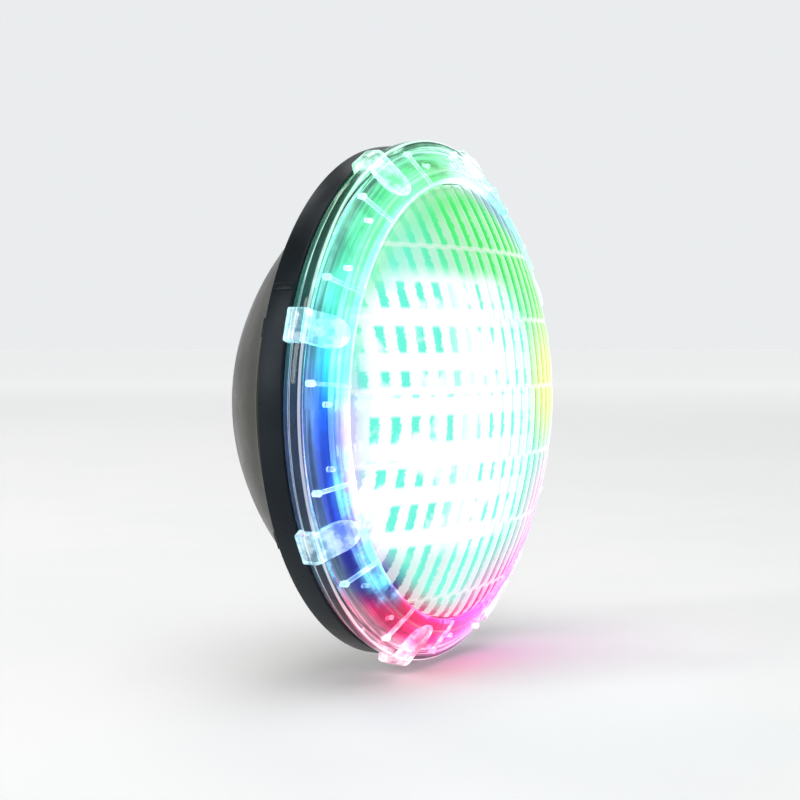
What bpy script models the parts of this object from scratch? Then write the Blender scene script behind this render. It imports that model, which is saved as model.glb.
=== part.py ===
"""Underwater pool light: a round lamp of the 178 mm standard size, seen with its lens towards -Y.

A black ring-shaped pan holds the light source behind a clear bezel and a domed lens. Behind it,
held off by five webs so that water can flow between, is a hollow bowl. A column crosses the water
gap from the pan to the terminals, which sit in a well at the middle of the bowl's back.

The frame: the lamp's axis is Y, +Z is up, and the origin is on the axis in the plane of the pan's
rear face. Lengths are in metres. In an outline each point is (radius, y).
"""

import math

import bmesh
import bpy
from mathutils import Matrix, Vector

# ---- driving dimensions ----
SEGMENTS = 48  # sides of the large turned pieces
SMALL_SEGMENTS = 12  # sides of screws and other small round pieces
GAP = 0.0003  # between pieces that touch

PAN_RADIUS = 0.0878
PAN_FRONT = -0.0088
PAN_FLOOR = 0.0030
PAN_WALL = 0.0030
PAN_EDGE = 0.0005
CABLE_HOLE = 0.0060

RIM_RADIUS = 0.0890
RIM_BACK = -0.0120
RIM_FRONT = -0.0154
BEZEL_FOOT_OUTER = 0.0876
BEZEL_FOOT_INNER = 0.0819
CONE_START_RADIUS = 0.0884
CONE_START = -0.0157
CONE_END_RADIUS = 0.0758
CONE_END = -0.0246
BEZEL_FRONT = -0.0249
BEZEL_OPENING = 0.0739
BEZEL_WALL = 0.0025

CLIP_COUNT = 8
CLIP_FIRST_ANGLE = math.radians(28.5)
CLIP_WIDTH = 0.0110
CLIP_RADIUS = 0.0910
CLIP_BACK = -0.0091

LENS_RADIUS = 0.0736
LENS_SHOULDER = -0.0250
LENS_APEX = -0.0464
LENS_WALL = 0.0025
LENS_FLANGE_RADIUS = 0.0770
LENS_FLANGE_BACK = -0.0182
LENS_FLANGE_FRONT = -0.0202
DOME_RINGS = 6

BOWL_RIM_RADIUS = 0.0765
BOWL_RIM_INNER = 0.0723
BOWL_RIM_FRONT = 0.00575
BOWL_RIM_BACK = 0.0093
BOWL_WALL = 0.0020
BOWL_BACK = 0.0447
WELL_RADIUS = 0.0180
WELL_WALL = 0.0018
WELL_FRONT = 0.0330

WEB_COUNT = 5
WEB_FIRST_ANGLE = math.radians(-90)
WEB_RADIUS = 0.0730
WEB_DEPTH = 0.0066
WEB_WIDTH = 0.0080
WEB_END = 0.0085

COLUMN_RADIUS = 0.0175
COLUMN_BORE = 0.0150
COLUMN_FLANGE = 0.0190
COLUMN_FOOT = 0.0016
COLUMN_FLOOR = 0.0056
COLUMN_END = 0.0320

BLOCK_FRONT = COLUMN_END + GAP
BLOCK_BACK = 0.0360
TERMINAL_X = 0.0075
PLATE_THICKNESS = 0.0010
WASHER_RADIUS = 0.0042
WASHER_THICKNESS = 0.0010
M4_RADIUS = 0.0020
M4_HEAD_RADIUS = 0.0036
M4_HEAD_HEIGHT = 0.0024
M4_LENGTH = 0.0052
M4_HOLE = M4_RADIUS + GAP

SPREADER_RADIUS = 0.0680
SPREADER_HOLE = 0.0150
SPREADER_THICKNESS = 0.0025
BOARD_RADIUS = 0.0760
BOARD_THICKNESS = 0.0016
SPREADER_BACK = -PAN_FLOOR - GAP
BOARD_BACK = SPREADER_BACK - SPREADER_THICKNESS - GAP
ROW_BACK = BOARD_BACK - BOARD_THICKNESS - GAP

ROW_COUNT = 7
ROW_PITCH = 0.0140
ROW_WIDTH = 0.0054
ROW_THICKNESS = 0.0010
LED_FIELD_RADIUS = 0.0580
LED_PITCH = 0.0130
LED_RADIUS = 0.0022
LED_HEIGHT = 0.0026

M3_RADIUS = 0.0012
M3_HEAD_RADIUS = 0.0024
M3_HEAD_HEIGHT = 0.0018
M3_HOLE = M3_RADIUS + GAP
BOARD_SCREW_RADIUS = 0.0630
COLUMN_SCREW_RADIUS = 0.0110

DRIVER_HALF_WIDTH = 0.0125
DRIVER_FRONT = 0.0075
DRIVER_BACK = 0.0265
DRIVER_THICKNESS = 0.0016


# ---- materials ----
def material(name, colour, roughness, metallic=0.0, glow=0.0, clear=0.0):
    """A Principled material, made once for each name."""
    made = bpy.data.materials.get(name) or bpy.data.materials.new(name)
    made.use_nodes = True
    shader = made.node_tree.nodes["Principled BSDF"]
    shader.inputs["Base Color"].default_value = (*colour, 1.0)
    shader.inputs["Roughness"].default_value = roughness
    shader.inputs["Metallic"].default_value = metallic
    shader.inputs["Transmission Weight"].default_value = clear
    shader.inputs["Emission Color"].default_value = (*colour, 1.0)
    shader.inputs["Emission Strength"].default_value = glow
    made.diffuse_color = (*colour, 1.0 - 0.6 * clear)
    return made


def black_plastic():
    return material("black_plastic", (0.022, 0.026, 0.030), 0.42)


def grey_plastic():
    return material("grey_plastic", (0.085, 0.085, 0.072), 0.48)


def gloss_black():
    return material("gloss_black_plastic", (0.012, 0.012, 0.013), 0.2)


def clear_plastic():
    return material("clear_plastic", (0.93, 0.97, 0.97), 0.04, clear=1.0)


def white_plastic():
    return material("white_plastic", (0.86, 0.89, 0.90), 0.5)


def black_rubber():
    return material("black_rubber", (0.02, 0.02, 0.02), 0.8)


def aluminium():
    return material("aluminium", (0.78, 0.79, 0.80), 0.35, metallic=1.0)


def steel():
    return material("stainless_steel", (0.62, 0.62, 0.61), 0.28, metallic=1.0)


def brass():
    return material("brass", (0.80, 0.60, 0.28), 0.3, metallic=1.0)


def copper():
    return material("enamelled_copper", (0.55, 0.22, 0.09), 0.35, metallic=1.0)


# ---- shape helpers ----
def add_object(name, shape, finish):
    """Turn a bmesh into a named object in the scene, shaded smooth up to its sharp edges."""
    bmesh.ops.recalc_face_normals(shape, faces=shape.faces)
    mesh = bpy.data.meshes.new(name)
    shape.to_mesh(mesh)
    shape.free()
    mesh.shade_smooth()
    mesh.set_sharp_from_angle(angle=math.radians(32))
    mesh.materials.append(finish)
    made = bpy.data.objects.new(name, mesh)
    bpy.context.scene.collection.objects.link(made)
    return made


def spin_outline(shape, outline, steps, centre=(0.0, 0.0)):
    """Spin an outline about the Y line through centre. It is open where both its ends are on that line."""
    x, z = centre
    points = [shape.verts.new((x + radius, y, z)) for radius, y in outline]
    pairs = list(zip(points, points[1:]))
    if outline[0][0] > 0 or outline[-1][0] > 0:
        pairs.append((points[-1], points[0]))
    edges = [shape.edges.new(pair) for pair in pairs]
    bmesh.ops.spin(
        shape, geom=points + edges, cent=(x, 0, z), axis=(0, 1, 0),
        angle=math.tau, steps=steps, use_merge=True,
    )
    bmesh.ops.remove_doubles(shape, verts=shape.verts, dist=1e-7)


def turned(name, outline, finish, steps=SEGMENTS):
    """A piece turned about the lamp's axis."""
    shape = bmesh.new()
    spin_outline(shape, outline, steps)
    return add_object(name, shape, finish)


def add_prism(shape, outline, width, angle=0.0):
    """Extrude a (radius, y) outline by width across the radial plane at this angle."""
    turn = Matrix.Rotation(-angle, 4, "Y")
    points = [shape.verts.new((radius, y, -width / 2)) for radius, y in outline]
    bottom = shape.faces.new(points)
    made = bmesh.ops.extrude_face_region(shape, geom=[bottom])["geom"]
    top = [item for item in made if isinstance(item, bmesh.types.BMVert)]
    bmesh.ops.translate(shape, verts=top, vec=(0, 0, width))
    bmesh.ops.transform(shape, matrix=turn, verts=points + top)


def add_box(shape, low, high):
    """A box between two corners."""
    low, high = Vector(low), Vector(high)
    place = Matrix.Translation((low + high) / 2) @ Matrix.Diagonal((*(high - low), 1))
    bmesh.ops.create_cube(shape, size=1.0, matrix=place)


def rod_outline(radius, start, end):
    """The outline of a plain round rod from y = start to y = end."""
    return [(0, start), (radius, start), (radius, end), (0, end)]


def change(target, name, shape, operation):
    """Join a helper shape to the target or cut it out, with a Boolean that stays on the target."""
    helper = add_object(name, shape, target.data.materials[0])
    helper.hide_render = True
    helper.display_type = "WIRE"
    cut = target.modifiers.new(name, "BOOLEAN")
    cut.operation = operation
    cut.solver = "EXACT"
    cut.object = helper


def round_places(count, radius, first_angle):
    """Places (x, z) spaced evenly on a circle."""
    angles = [first_angle + math.tau * index / count for index in range(count)]
    return [(radius * math.cos(angle), radius * math.sin(angle)) for angle in angles]


def offset_path(path, distance):
    """The path moved sideways by distance, each point along its own normal."""
    moved = []
    for index, (radius, y) in enumerate(path):
        before = path[max(index - 1, 0)]
        after = path[min(index + 1, len(path) - 1)]
        along = Vector((after[0] - before[0], after[1] - before[1])).normalized()
        moved.append((radius - along.y * distance, y + along.x * distance))
    return moved


POST_PLACES = round_places(WEB_COUNT, WEB_RADIUS, WEB_FIRST_ANGLE)
BOARD_SCREW_PLACES = round_places(3, BOARD_SCREW_RADIUS, math.radians(90))
COLUMN_SCREW_PLACES = round_places(3, COLUMN_SCREW_RADIUS, math.radians(90))


# ---- housing ----
def housing_pan():
    """The black ring with its floor: post holes, cable hole, and the catch blocks behind the clips."""
    lip = PAN_RADIUS - PAN_WALL
    shelf = -0.0060
    shelf_radius = 0.0814
    pan = turned("housing_pan", [
        (CABLE_HOLE, 0), (PAN_RADIUS - PAN_EDGE, 0), (PAN_RADIUS, -PAN_EDGE),
        (PAN_RADIUS, PAN_FRONT + PAN_EDGE), (PAN_RADIUS - PAN_EDGE, PAN_FRONT),
        (lip, PAN_FRONT), (lip, shelf), (shelf_radius, shelf), (shelf_radius, -PAN_FLOOR),
        (CABLE_HOLE, -PAN_FLOOR),
    ], black_plastic())

    blocks = bmesh.new()
    for index in range(CLIP_COUNT):
        angle = CLIP_FIRST_ANGLE + math.tau * index / CLIP_COUNT
        outline = [(0.0835, -0.0008), (0.0868, -0.0008), (0.0868, 0.0010), (0.0835, 0.0014)]
        add_prism(blocks, outline, 0.0062, angle)
    change(pan, "catch_blocks", blocks, "UNION")

    holes = bmesh.new()
    for place in POST_PLACES + COLUMN_SCREW_PLACES:
        spin_outline(holes, rod_outline(M3_HOLE, -0.005, 0.003), SMALL_SEGMENTS, place)
    for place in BOARD_SCREW_PLACES:
        spin_outline(holes, rod_outline(M3_HOLE, -0.005, -0.0007), SMALL_SEGMENTS, place)
    change(pan, "pan_holes", holes, "DIFFERENCE")


def rear_bowl():
    """The hollow bowl: rim bead, five webs towards the pan, and the terminal well."""
    back = [
        (0.0746, BOWL_RIM_BACK), (0.0686, 0.0170), (0.0625, 0.0240), (0.0564, 0.0300),
        (0.0485, 0.0366), (0.0420, 0.0403), (0.0326, 0.0430), (0.0205, BOWL_BACK),
    ]
    inside = offset_path(back, BOWL_WALL)
    edge = 0.0005
    well_outer = WELL_RADIUS + WELL_WALL
    bowl = turned("rear_bowl", [
        (BOWL_RIM_INNER, BOWL_RIM_FRONT), (BOWL_RIM_RADIUS - edge, BOWL_RIM_FRONT),
        (BOWL_RIM_RADIUS, BOWL_RIM_FRONT + edge), (BOWL_RIM_RADIUS, BOWL_RIM_BACK - edge),
        (BOWL_RIM_RADIUS - edge, BOWL_RIM_BACK), *back,
        (WELL_RADIUS + edge, BOWL_BACK), (WELL_RADIUS, BOWL_BACK - edge),
        (WELL_RADIUS, WELL_FRONT), (well_outer, WELL_FRONT), (well_outer, inside[-1][1]),
        *reversed(inside[1:-1]), (BOWL_RIM_INNER, BOWL_RIM_BACK + 0.0006),
    ], grey_plastic())

    webs = bmesh.new()
    low, high = WEB_RADIUS - WEB_DEPTH / 2, WEB_RADIUS + WEB_DEPTH / 2
    for index in range(WEB_COUNT):
        angle = WEB_FIRST_ANGLE + math.tau * index / WEB_COUNT
        outline = [(low, GAP), (high, GAP), (high, WEB_END - 0.0006), (low, WEB_END)]
        add_prism(webs, outline, WEB_WIDTH, angle)
    change(bowl, "spacer_webs", webs, "UNION")

    holes = bmesh.new()
    for place in POST_PLACES:
        spin_outline(holes, rod_outline(M3_HOLE, -0.002, 0.0070), SMALL_SEGMENTS, place)
    change(bowl, "post_holes", holes, "DIFFERENCE")


def terminal_column():
    """The black tube that carries the leads across the water gap, and its gasket."""
    column = turned("terminal_column", [
        (CABLE_HOLE, COLUMN_FOOT), (COLUMN_FLANGE, COLUMN_FOOT), (COLUMN_FLANGE, 0.0032),
        (COLUMN_RADIUS, 0.0040), (COLUMN_RADIUS, COLUMN_END), (COLUMN_BORE, COLUMN_END),
        (COLUMN_BORE, COLUMN_FLOOR), (CABLE_HOLE, COLUMN_FLOOR),
    ], gloss_black(), 32)
    gasket = turned("column_gasket", [
        (CABLE_HOLE, GAP), (COLUMN_FLANGE, GAP), (COLUMN_FLANGE, COLUMN_FOOT - GAP),
        (CABLE_HOLE, COLUMN_FOOT - GAP),
    ], black_rubber(), 32)
    for target, start, end in ((column, 0.0, 0.0050), (gasket, -0.001, 0.002)):
        holes = bmesh.new()
        for place in COLUMN_SCREW_PLACES:
            spin_outline(holes, rod_outline(M3_HOLE, start, end), SMALL_SEGMENTS, place)
        change(target, target.name + "_holes", holes, "DIFFERENCE")


# ---- clear front ----
def clear_bezel():
    """The clear ring: a foot on the pan, a rim, a cone up to the lens, and eight clips."""
    slope = Vector((CONE_END_RADIUS - CONE_START_RADIUS, CONE_END - CONE_START)).normalized()
    inner_start = (CONE_START_RADIUS + slope.y * BEZEL_WALL, CONE_START - slope.x * BEZEL_WALL)
    grade = slope.y / slope.x

    def inner_y(radius):
        return inner_start[1] + grade * (radius - inner_start[0])

    bezel = turned("clear_bezel", [
        (BEZEL_FOOT_INNER, PAN_FRONT - GAP), (BEZEL_FOOT_OUTER, PAN_FRONT - GAP),
        (BEZEL_FOOT_OUTER, RIM_BACK), (RIM_RADIUS, RIM_BACK - 0.0003), (RIM_RADIUS, RIM_FRONT),
        (CONE_START_RADIUS, CONE_START), (CONE_END_RADIUS, CONE_END),
        (CONE_END_RADIUS - 0.0006, BEZEL_FRONT), (BEZEL_OPENING, BEZEL_FRONT),
        (BEZEL_OPENING, inner_y(BEZEL_OPENING)), (BEZEL_FOOT_INNER, inner_y(BEZEL_FOOT_INNER)),
    ], clear_plastic())

    clips = bmesh.new()
    for index in range(CLIP_COUNT):
        angle = CLIP_FIRST_ANGLE + math.tau * index / CLIP_COUNT
        add_prism(clips, [
            (0.0860, CLIP_BACK - 0.0004), (0.0872, CLIP_BACK), (CLIP_RADIUS - 0.0006, CLIP_BACK),
            (CLIP_RADIUS, CLIP_BACK - 0.0006), (CLIP_RADIUS, -0.0144),
            (CLIP_RADIUS - 0.0010, -0.0162), (0.0790, -0.0238), (0.0790, -0.0205),
        ], CLIP_WIDTH, angle)
    change(bezel, "bezel_clips", clips, "UNION")


def front_lens():
    """The domed lens: a spherical cap on a short neck with a flange behind the bezel."""
    rise = LENS_SHOULDER - LENS_APEX
    sphere = (LENS_RADIUS**2 + rise**2) / (2 * rise)
    centre = LENS_APEX + sphere

    def cap(base_radius, sphere_radius):
        steps = [base_radius * (1 - index / DOME_RINGS) for index in range(DOME_RINGS + 1)]
        return [(radius, centre - math.sqrt(sphere_radius**2 - radius**2)) for radius in steps]

    inner_radius = LENS_RADIUS - LENS_WALL
    turned("front_lens", [
        *reversed(cap(inner_radius, sphere - LENS_WALL)), (inner_radius, LENS_FLANGE_BACK),
        (LENS_FLANGE_RADIUS, LENS_FLANGE_BACK), (LENS_FLANGE_RADIUS, LENS_FLANGE_FRONT),
        (LENS_RADIUS, LENS_FLANGE_FRONT), *cap(LENS_RADIUS, sphere),
    ], clear_plastic())


def pan_seal():
    """The rubber ring between the pan's shelf and the bezel's foot."""
    low, high = 0.0821, 0.0845
    back, front = -0.0063, PAN_FRONT
    middle = (back + front) / 2
    edge = 0.0007
    turned("pan_seal", [
        (low, middle), (low + edge, back), (high - edge, back), (high, middle),
        (high - edge, front), (low + edge, front),
    ], black_rubber())


def lens_support_ring():
    """The white ring that stands on the pan's floor and carries the lens flange."""
    turned("lens_support_ring", [
        (0.0786, SPREADER_BACK), (0.0809, SPREADER_BACK), (0.0768, LENS_FLANGE_BACK + GAP),
        (0.0746, LENS_FLANGE_BACK + GAP),
    ], white_plastic())


# ---- light source ----
def drilled_disc(name, outer, inner, back, thickness, finish):
    """A flat disc with the three board screw holes, and a middle hole where inner is over 0."""
    if inner:
        outline = [(inner, back), (outer, back), (outer, back - thickness), (inner, back - thickness)]
    else:
        outline = [(0, back), (outer, back), (outer, back - thickness), (0, back - thickness)]
    disc = turned(name, outline, finish)
    holes = bmesh.new()
    for place in BOARD_SCREW_PLACES:
        rod = rod_outline(M3_HOLE, back - thickness - 0.002, back + 0.002)
        spin_outline(holes, rod, SMALL_SEGMENTS, place)
    change(disc, name + "_holes", holes, "DIFFERENCE")


def light_board():
    drilled_disc(
        "heat_spreader", SPREADER_RADIUS, SPREADER_HOLE, SPREADER_BACK, SPREADER_THICKNESS, aluminium()
    )
    drilled_disc("led_board", BOARD_RADIUS, 0, BOARD_BACK, BOARD_THICKNESS, white_plastic())


def row_finish(height):
    """Light colour of a row: green at the top, white in the middle, red at the bottom."""
    if height > 2.5 * ROW_PITCH:
        return material("led_green", (0.10, 0.95, 0.35), 0.3, glow=4.0)
    if height > 1.5 * ROW_PITCH:
        return material("led_mint", (0.45, 1.00, 0.80), 0.3, glow=4.0)
    if height > -1.5 * ROW_PITCH:
        return material("led_white", (0.92, 1.00, 1.00), 0.3, glow=5.0)
    if height > -2.5 * ROW_PITCH:
        return material("led_blue", (0.30, 0.55, 1.00), 0.3, glow=4.0)
    return material("led_red", (1.00, 0.16, 0.40), 0.3, glow=4.0)


def led_rows():
    """Seven strips across the round field, each with its row of domed light sources."""
    front = ROW_BACK - ROW_THICKNESS
    dome = [
        (0, front + 0.0003), (LED_RADIUS, front + 0.0003), (LED_RADIUS, front - LED_HEIGHT * 0.45),
        (LED_RADIUS * 0.6, front - LED_HEIGHT), (0, front - LED_HEIGHT),
    ]
    for index in range(ROW_COUNT):
        height = ((ROW_COUNT - 1) / 2 - index) * ROW_PITCH
        half = math.sqrt(LED_FIELD_RADIUS**2 - height**2)
        strip = bmesh.new()
        low = (-half, front, height - ROW_WIDTH / 2)
        add_box(strip, low, (half, ROW_BACK, height + ROW_WIDTH / 2))
        row = add_object(f"led_row_{index + 1}", strip, row_finish(height))
        domes = bmesh.new()
        count = int((half - LED_RADIUS) // LED_PITCH)
        for step in range(-count, count + 1):
            spin_outline(domes, dome, 6, (step * LED_PITCH, height))
        change(row, f"led_domes_{index + 1}", domes, "UNION")


# ---- electrics in the column ----
def plate_tail(side, spare=0.0):
    """Corners of a terminal plate's tail, grown by spare for the slot that it passes through."""
    x = side * TERMINAL_X
    low = (x - 0.0015 - spare, 0.0280 - spare, 0.0042 - spare)
    high = (x + 0.0015 + spare, BLOCK_BACK + 0.0008, 0.0050 + spare)
    return low, high


def terminal_block():
    """The insulating disc at the column's end, with a fence between its two terminals."""
    finish = black_plastic()
    block = turned("terminal_block", rod_outline(COLUMN_RADIUS, BLOCK_FRONT, BLOCK_BACK), finish, 32)
    fence = bmesh.new()
    add_box(fence, (-0.0009, BLOCK_BACK - 0.0005, -0.0120), (0.0009, 0.0410, 0.0120))
    change(block, "terminal_fence", fence, "UNION")
    resin = turned("resin_plug", rod_outline(COLUMN_BORE - GAP, 0.0285, COLUMN_END), gloss_black(), 32)
    cuts = bmesh.new()
    for side in (-1, 1):
        screw_place = (side * TERMINAL_X, 0.0)
        spin_outline(cuts, rod_outline(M4_HOLE, 0.0328, 0.0370), SMALL_SEGMENTS, screw_place)
    change(block, "screw_pockets", cuts, "DIFFERENCE")
    for target in (block, resin):
        slots = bmesh.new()
        for side in (-1, 1):
            low, high = plate_tail(side, GAP)
            add_box(slots, low, high)
        change(target, target.name + "_slots", slots, "DIFFERENCE")


def terminal_parts():
    """On each side a brass plate with its tail, a clamp washer, and the M4 screw that lifts it."""
    plate_back = BLOCK_BACK + GAP + PLATE_THICKNESS
    washer_front = plate_back + GAP
    washer_back = washer_front + WASHER_THICKNESS
    head_front = washer_back + GAP
    head_back = head_front + M4_HEAD_HEIGHT
    washer_shape = [
        (M4_HOLE, washer_front), (WASHER_RADIUS, washer_front), (WASHER_RADIUS, washer_back),
        (M4_HOLE, washer_back),
    ]
    screw_shape = [
        (0, head_back - M4_LENGTH - M4_HEAD_HEIGHT), (M4_RADIUS, head_back - M4_LENGTH - M4_HEAD_HEIGHT),
        (M4_RADIUS, head_front), (M4_HEAD_RADIUS, head_front), (M4_HEAD_RADIUS, head_back - 0.0006),
        (M4_HEAD_RADIUS - 0.0006, head_back), (0, head_back),
    ]
    for name, side in (("left", -1), ("right", 1)):
        x = side * TERMINAL_X
        plate = bmesh.new()
        add_box(plate, (x - 0.0048, BLOCK_BACK + GAP, -0.0090), (x + 0.0048, plate_back, 0.0058))
        made = add_object(f"terminal_plate_{name}", plate, brass())
        tail = bmesh.new()
        low, high = plate_tail(side)
        add_box(tail, low, high)
        change(made, f"plate_tail_{name}", tail, "UNION")
        hole = bmesh.new()
        spin_outline(hole, rod_outline(M4_HOLE, 0.0350, 0.0390), SMALL_SEGMENTS, (x, 0.0))
        change(made, f"plate_hole_{name}", hole, "DIFFERENCE")

        # The origins of the washer and the screw are on the screw's axis, where they turn and slide.
        washer = turned(f"clamp_washer_{name}", washer_shape, steel(), SMALL_SEGMENTS)
        washer.location.x = x
        screw = turned(f"terminal_screw_{name}", screw_shape, steel(), SMALL_SEGMENTS)
        screw.location.x = x
        slot = bmesh.new()
        add_box(slot, (x - 0.0050, head_back - 0.0011, -0.0005), (x + 0.0050, head_back + 0.001, 0.0005))
        change(screw, f"screw_slot_{name}", slot, "DIFFERENCE")


def round_component(name, x, y, z, radius, height, finish):
    """A can or coil standing on the driver board."""
    shape = bmesh.new()
    place = Matrix.Translation((x, y, z + height / 2))
    bmesh.ops.create_cone(
        shape, cap_ends=True, segments=SMALL_SEGMENTS, radius1=radius, radius2=radius,
        depth=height, matrix=place,
    )
    add_object(name, shape, finish)


def box_component(name, low, high, finish):
    """A flat component, drawn as a box between two corners."""
    shape = bmesh.new()
    add_box(shape, low, high)
    add_object(name, shape, finish)


def driver_electronics():
    """The driver board, edge-on along the column's axis, and its components."""
    half = DRIVER_THICKNESS / 2
    box_component(
        "driver_board", (-DRIVER_HALF_WIDTH, DRIVER_FRONT, -half), (DRIVER_HALF_WIDTH, DRIVER_BACK, half),
        material("board_green", (0.03, 0.20, 0.09), 0.4),
    )
    top, bottom = half + GAP, -half - GAP
    round_component("choke_coil", -0.0055, 0.0205, top, 0.0048, 0.0060, copper())
    can = material("capacitor_sleeve", (0.05, 0.06, 0.12), 0.35)
    round_component("capacitor_1", 0.0040, 0.0215, top, 0.0032, 0.0080, can)
    round_component("capacitor_2", 0.0080, 0.0140, top, 0.0026, 0.0065, can)
    chip = black_plastic()
    box_component("controller_module", (-0.0070, 0.0100, bottom - 0.0024), (0.0030, 0.0200, bottom), chip)
    box_component("bridge_rectifier", (0.0050, 0.0180, bottom - 0.0030), (0.0105, 0.0250, bottom), chip)


def led_lead(name, x, finish):
    """An insulated lead from the driver board, through the pan's cable hole, to the light board."""
    path = bpy.data.curves.new(name, "CURVE")
    path.dimensions = "3D"
    path.bevel_depth = 0.0007
    path.bevel_resolution = 2
    path.use_fill_caps = True
    line = path.splines.new("POLY")
    start, end = Vector((x, BOARD_BACK + GAP, 0.0035)), Vector((1.6 * x, 0.0118, 0.0020))
    steps = 12
    line.points.add(steps)
    for index, point in enumerate(line.points):
        share = index / steps
        eased = share * share * (3 - 2 * share)
        y = start.y + (end.y - start.y) * share
        point.co = (start.x + (end.x - start.x) * eased, y, start.z + (end.z - start.z) * eased, 1)
    path.materials.append(finish)
    made = bpy.data.objects.new(name, path)
    bpy.context.scene.collection.objects.link(made)


# ---- fasteners ----
def small_screws(prefix, places, head_base, tip):
    """A set of pan-head screws along +Y: the head's underside at head_base, the point at tip."""
    outline = [
        (0, head_base - M3_HEAD_HEIGHT), (M3_HEAD_RADIUS - 0.0006, head_base - M3_HEAD_HEIGHT),
        (M3_HEAD_RADIUS, head_base - M3_HEAD_HEIGHT + 0.0006), (M3_HEAD_RADIUS, head_base),
        (M3_RADIUS, head_base), (M3_RADIUS, tip - 0.0008), (0.0004, tip), (0, tip),
    ]
    for index, (x, z) in enumerate(places):
        screw = turned(f"{prefix}_{index + 1}", outline, steel(), 10)
        screw.location = (x, 0, z)


def fasteners():
    small_screws("post_screw", POST_PLACES, SPREADER_BACK, 0.0066)
    small_screws("column_screw", COLUMN_SCREW_PLACES, SPREADER_BACK, 0.0046)
    small_screws("board_screw", BOARD_SCREW_PLACES, ROW_BACK, -0.0011)


def clear_scene():
    for item in list(bpy.data.objects):
        bpy.data.objects.remove(item, do_unlink=True)


def main():
    clear_scene()
    housing_pan()
    rear_bowl()
    terminal_column()
    clear_bezel()
    front_lens()
    pan_seal()
    lens_support_ring()
    light_board()
    led_rows()
    terminal_block()
    terminal_parts()
    driver_electronics()
    led_lead("led_lead_red", -0.0025, material("red_insulation", (0.55, 0.02, 0.02), 0.4))
    led_lead("led_lead_black", 0.0025, material("black_insulation", (0.02, 0.02, 0.02), 0.4))
    fasteners()


main()
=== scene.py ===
"""Looks of the underwater pool light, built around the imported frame.

The lamp's axis is Y: the lens faces -Y and the terminals face +Y. Z is up. Lengths are in metres.
In an outline each point is (radius, y). Angles are measured from +X towards +Z.
"""

from functools import partialmethod
from math import cos, hypot, pi, radians, sin, sqrt, tau

import bmesh
import bpy
from mathutils import Matrix, Vector


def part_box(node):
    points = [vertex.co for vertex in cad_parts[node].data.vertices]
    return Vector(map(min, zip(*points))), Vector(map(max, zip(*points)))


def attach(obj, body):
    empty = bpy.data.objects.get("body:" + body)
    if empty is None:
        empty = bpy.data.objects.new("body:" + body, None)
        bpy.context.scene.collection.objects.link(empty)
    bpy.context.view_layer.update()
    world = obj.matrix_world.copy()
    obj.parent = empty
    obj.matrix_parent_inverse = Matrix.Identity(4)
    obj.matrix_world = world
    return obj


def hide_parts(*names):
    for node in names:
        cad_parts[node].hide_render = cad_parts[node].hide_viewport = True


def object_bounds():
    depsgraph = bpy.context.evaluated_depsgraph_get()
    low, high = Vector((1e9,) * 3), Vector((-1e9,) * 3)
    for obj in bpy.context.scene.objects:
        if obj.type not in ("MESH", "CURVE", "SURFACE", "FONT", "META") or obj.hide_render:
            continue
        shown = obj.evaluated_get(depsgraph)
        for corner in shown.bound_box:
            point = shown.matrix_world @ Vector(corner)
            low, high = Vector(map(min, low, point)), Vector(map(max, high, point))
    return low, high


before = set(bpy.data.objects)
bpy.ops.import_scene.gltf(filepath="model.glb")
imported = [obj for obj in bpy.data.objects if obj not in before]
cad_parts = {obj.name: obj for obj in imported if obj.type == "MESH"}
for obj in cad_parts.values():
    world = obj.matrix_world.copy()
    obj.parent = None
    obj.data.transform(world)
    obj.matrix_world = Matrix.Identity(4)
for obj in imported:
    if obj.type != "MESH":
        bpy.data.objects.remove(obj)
cad_low, cad_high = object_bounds()
BODY = "lamp"

# ---- sizes read from the frame: each box's low and high corner ----
(_, PAN_FRONT, _), (PAN_RADIUS, _, _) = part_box("housing_pan")
(_, BEZEL_FRONT, _), (RIM_RADIUS, FOOT_BACK, _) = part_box("clear_bezel")
(_, LENS_APEX, _), (FLANGE_RADIUS, FLANGE_BACK, _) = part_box("front_lens")
_, (BOWL_RIM_RADIUS, BOWL_BACK, _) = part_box("rear_bowl")
(_, COLUMN_FOOT, _), (COLUMN_FLANGE, COLUMN_END, _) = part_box("terminal_column")
(_, BOARD_FRONT, _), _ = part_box("led_board")
(SUPPORT_SIDE, SUPPORT_FRONT, _), (_, SUPPORT_BACK, _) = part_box("lens_support_ring")

# ---- shared design values ----
FINE = 192  # sides of the large turned pieces
CLIP_ANGLES = [radians(28.5 + 45 * index) for index in range(8)]
RIB_TURN = radians(11.25)  # from a clip to the rib on each side of it
BUMP_TURN = radians(15.5)  # from a clip to the small bump beyond each rib
WEB_ANGLES = [radians(-90 + 72 * index) for index in range(5)]
BAND_ANGLES = [radians(angle) for angle in (155, 25, -90)]
WEB_RADIUS = 0.0730
LEAD_BORE = 0.0060  # radius of the leads' way through pan, gasket and column
LENS_RADIUS = 0.0736
LENS_SHOULDER = -0.0250
LENS_WALL = 0.0025
FLUTE_PITCH = 0.0070
FLUTE_DEPTH = 0.00070
FLUTE_ROW = 0.0230  # height between the cross lines that break the flutes
FLUTE_ROW_START = 0.0050  # height of one of those lines
FLUTE_OFFSET = 40.0  # whole flutes, added so that a place across them is never negative
ROW_PITCH = 0.0140  # height between the light rows
ROW_OFFSET = 20.5  # whole rows and the half that puts a row at height 0


# ---- materials ----
def linear(*colour):
    """Linear values of a colour given as 0 to 255 per channel."""
    shares = [part / 255 for part in colour]
    return tuple(part / 12.92 if part <= 0.04045 else ((part + 0.055) / 1.055) ** 2.4 for part in shares)


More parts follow.
